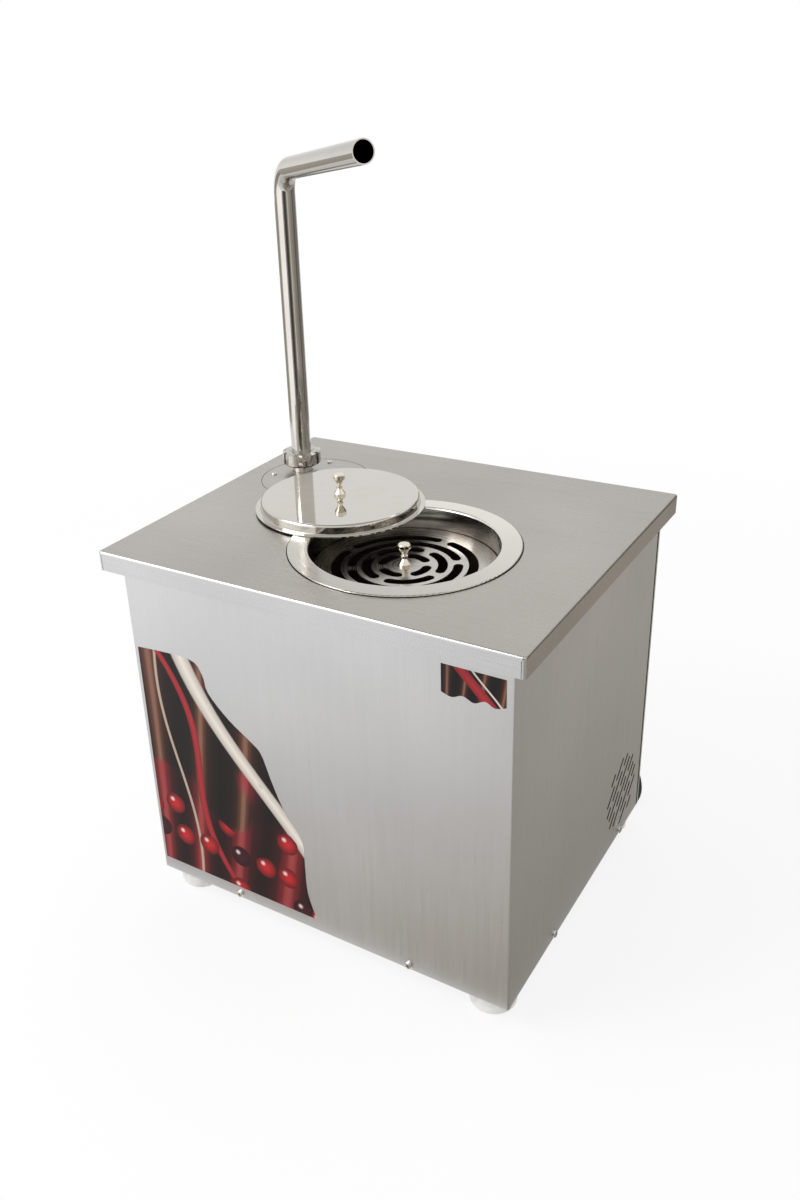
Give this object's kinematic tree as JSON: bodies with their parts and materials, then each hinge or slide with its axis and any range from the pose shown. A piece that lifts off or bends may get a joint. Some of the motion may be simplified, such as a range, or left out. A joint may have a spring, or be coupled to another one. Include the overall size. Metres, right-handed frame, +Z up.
{
  "type": "chocolate tempering machine",
  "caption": "Table-top chocolate tempering machine: square steel cabinet, heated bowl with slotted grate and lid, gear pump, riser and swivelling bent spout.",
  "frame": {"origin": "on the table, under the middle of the worktop", "axes": "+Z up, the front of the cabinet faces -Y, +X to the operator's right when facing the front"},
  "size_m": [0.52, 0.547, 0.8986],
  "materials": {
    "brushed_stainless": "vertical brushed grain",
    "satin_stainless": "satin",
    "polished_stainless": "mirror polish",
    "union_steel": "turned",
    "pump_steel": "machined",
    "screw_steel": "plain",
    "foot_plastic": "matte",
    "gasket_rubber": "matte",
    "heater_mica": "dull",
    "jacket_felt": "felt",
    "motor_aluminium": "cast",
    "black_plastic": "matte",
    "lens_glass": "tinted",
    "button_plastic": "matte",
    "rocker_red": "gloss",
    "rocker_green": "gloss",
    "cord_rubber": "matte"
  },
  "bodies": {
    "machine": {"worktop": "satin_stainless", "casing_wrap": "brushed_stainless", "back_cover": "brushed_stainless", "bottom_pan": "brushed_stainless", "corner_posts": "brushed_stainless", "foot_front_left": "foot_plastic", "foot_front_right": "foot_plastic", "foot_back_left": "foot_plastic", "foot_back_right": "foot_plastic", "pan_screws": "screw_steel", "casing_screws": "screw_steel", "back_screws": "screw_steel", "cover_disc": "satin_stainless", "cover_ring": "satin_stainless", "disc_screws": "screw_steel", "bowl": "polished_stainless", "heater_band": "heater_mica", "bowl_jacket": "jacket_felt", "bowl_probe": "screw_steel", "riser_pipe": "polished_stainless", "union_gasket": "gasket_rubber", "pump_housing": "pump_steel", "pump_cover": "pump_steel", "pump_screws": "screw_steel", "shaft_seal": "gasket_rubber", "pump_spacers": "satin_stainless", "gearbox": "motor_aluminium", "motor_can": "motor_aluminium", "motor_stand": "brushed_stainless", "fan_frame": "black_plastic", "fan_studs": "satin_stainless", "controller": "black_plastic", "controller_lens": "lens_glass", "heat_switch_body": "black_plastic", "pump_switch_body": "black_plastic", "terminal_block": "button_plastic", "relay": "black_plastic", "cord_gland": "black_plastic", "cord_tube": "cord_rubber", "cord_coil": "cord_rubber", "plug": "black_plastic"},
    "spout": {"spout_tube": "polished_stainless", "spout_liner": "union_steel"},
    "union_nut": {"union_nut": "union_steel"},
    "grate": {"grate": "polished_stainless", "grate_knob": "polished_stainless", "grate_nut": "screw_steel"},
    "lid": {"lid": "polished_stainless", "lid_knob": "polished_stainless", "lid_nut": "screw_steel"},
    "pump_drive": {"drive_gear": "pump_steel", "drive_shaft": "pump_steel"},
    "pump_idler": {"idler_gear": "pump_steel", "idler_shaft": "pump_steel"},
    "fan": {"fan_rotor": "black_plastic"},
    "heat_rocker": {"heat_rocker": "rocker_red"},
    "pump_rocker": {"pump_rocker": "rocker_green"},
    "button_down": {"button_down": "button_plastic"},
    "button_set": {"button_set": "button_plastic"},
    "button_up": {"button_up": "button_plastic"}
  },
  "joints": [
    {"name": "spout_swivel", "type": "hinge", "parent": "machine", "child": "spout", "pos_m": [-0.197, 0.1, 0.55], "axis": [0, 0, 1], "continuous": true},
    {"name": "union_turn", "type": "hinge", "parent": "machine", "child": "union_nut", "pos_m": [-0.197, 0.1, 0.5], "axis": [0, 0, 1], "range_deg": [0, 360]},
    {"name": "grate_lift", "type": "slide", "parent": "machine", "child": "grate", "axis": [0, 0, 1], "range_m": [0, 0.12]},
    {"name": "lid_lift", "type": "slide", "parent": "grate", "child": "lid", "axis": [0, 0, 1], "range_m": [0, 0.15]},
    {"name": "pump_turn", "type": "hinge", "parent": "machine", "child": "pump_drive", "pos_m": [0.02, -0.052, 0.28142], "axis": [0, 1, 0], "continuous": true},
    {"name": "idler_turn", "type": "hinge", "parent": "machine", "child": "pump_idler", "pos_m": [0.062, -0.052, 0.28142], "axis": [0, 1, 0], "continuous": true},
    {"name": "fan_turn", "type": "hinge", "parent": "machine", "child": "fan", "pos_m": [0.228, 0.141, 0.096], "axis": [1, 0, 0], "continuous": true},
    {"name": "heat_switch", "type": "hinge", "parent": "machine", "child": "heat_rocker", "pos_m": [-0.243, -0.038, 0.395], "axis": [0, 1, 0], "range_deg": [0, 18]},
    {"name": "pump_switch", "type": "hinge", "parent": "machine", "child": "pump_rocker", "pos_m": [-0.243, -0.004, 0.395], "axis": [0, 1, 0], "range_deg": [0, 18]},
    {"name": "press_down", "type": "slide", "parent": "machine", "child": "button_down", "axis": [1, 0, 0], "range_m": [0, 0.0008], "stiffness_N_per_m": 200, "springref_m": -0.001},
    {"name": "press_set", "type": "slide", "parent": "machine", "child": "button_set", "axis": [1, 0, 0], "range_m": [0, 0.0008], "stiffness_N_per_m": 200, "springref_m": -0.001},
    {"name": "press_up", "type": "slide", "parent": "machine", "child": "button_up", "axis": [1, 0, 0], "range_m": [0, 0.0008], "stiffness_N_per_m": 200, "springref_m": -0.001}
  ],
  "couplings": [
    {"joint": "idler_turn", "follows": "pump_turn", "ratio": -1}
  ]
}
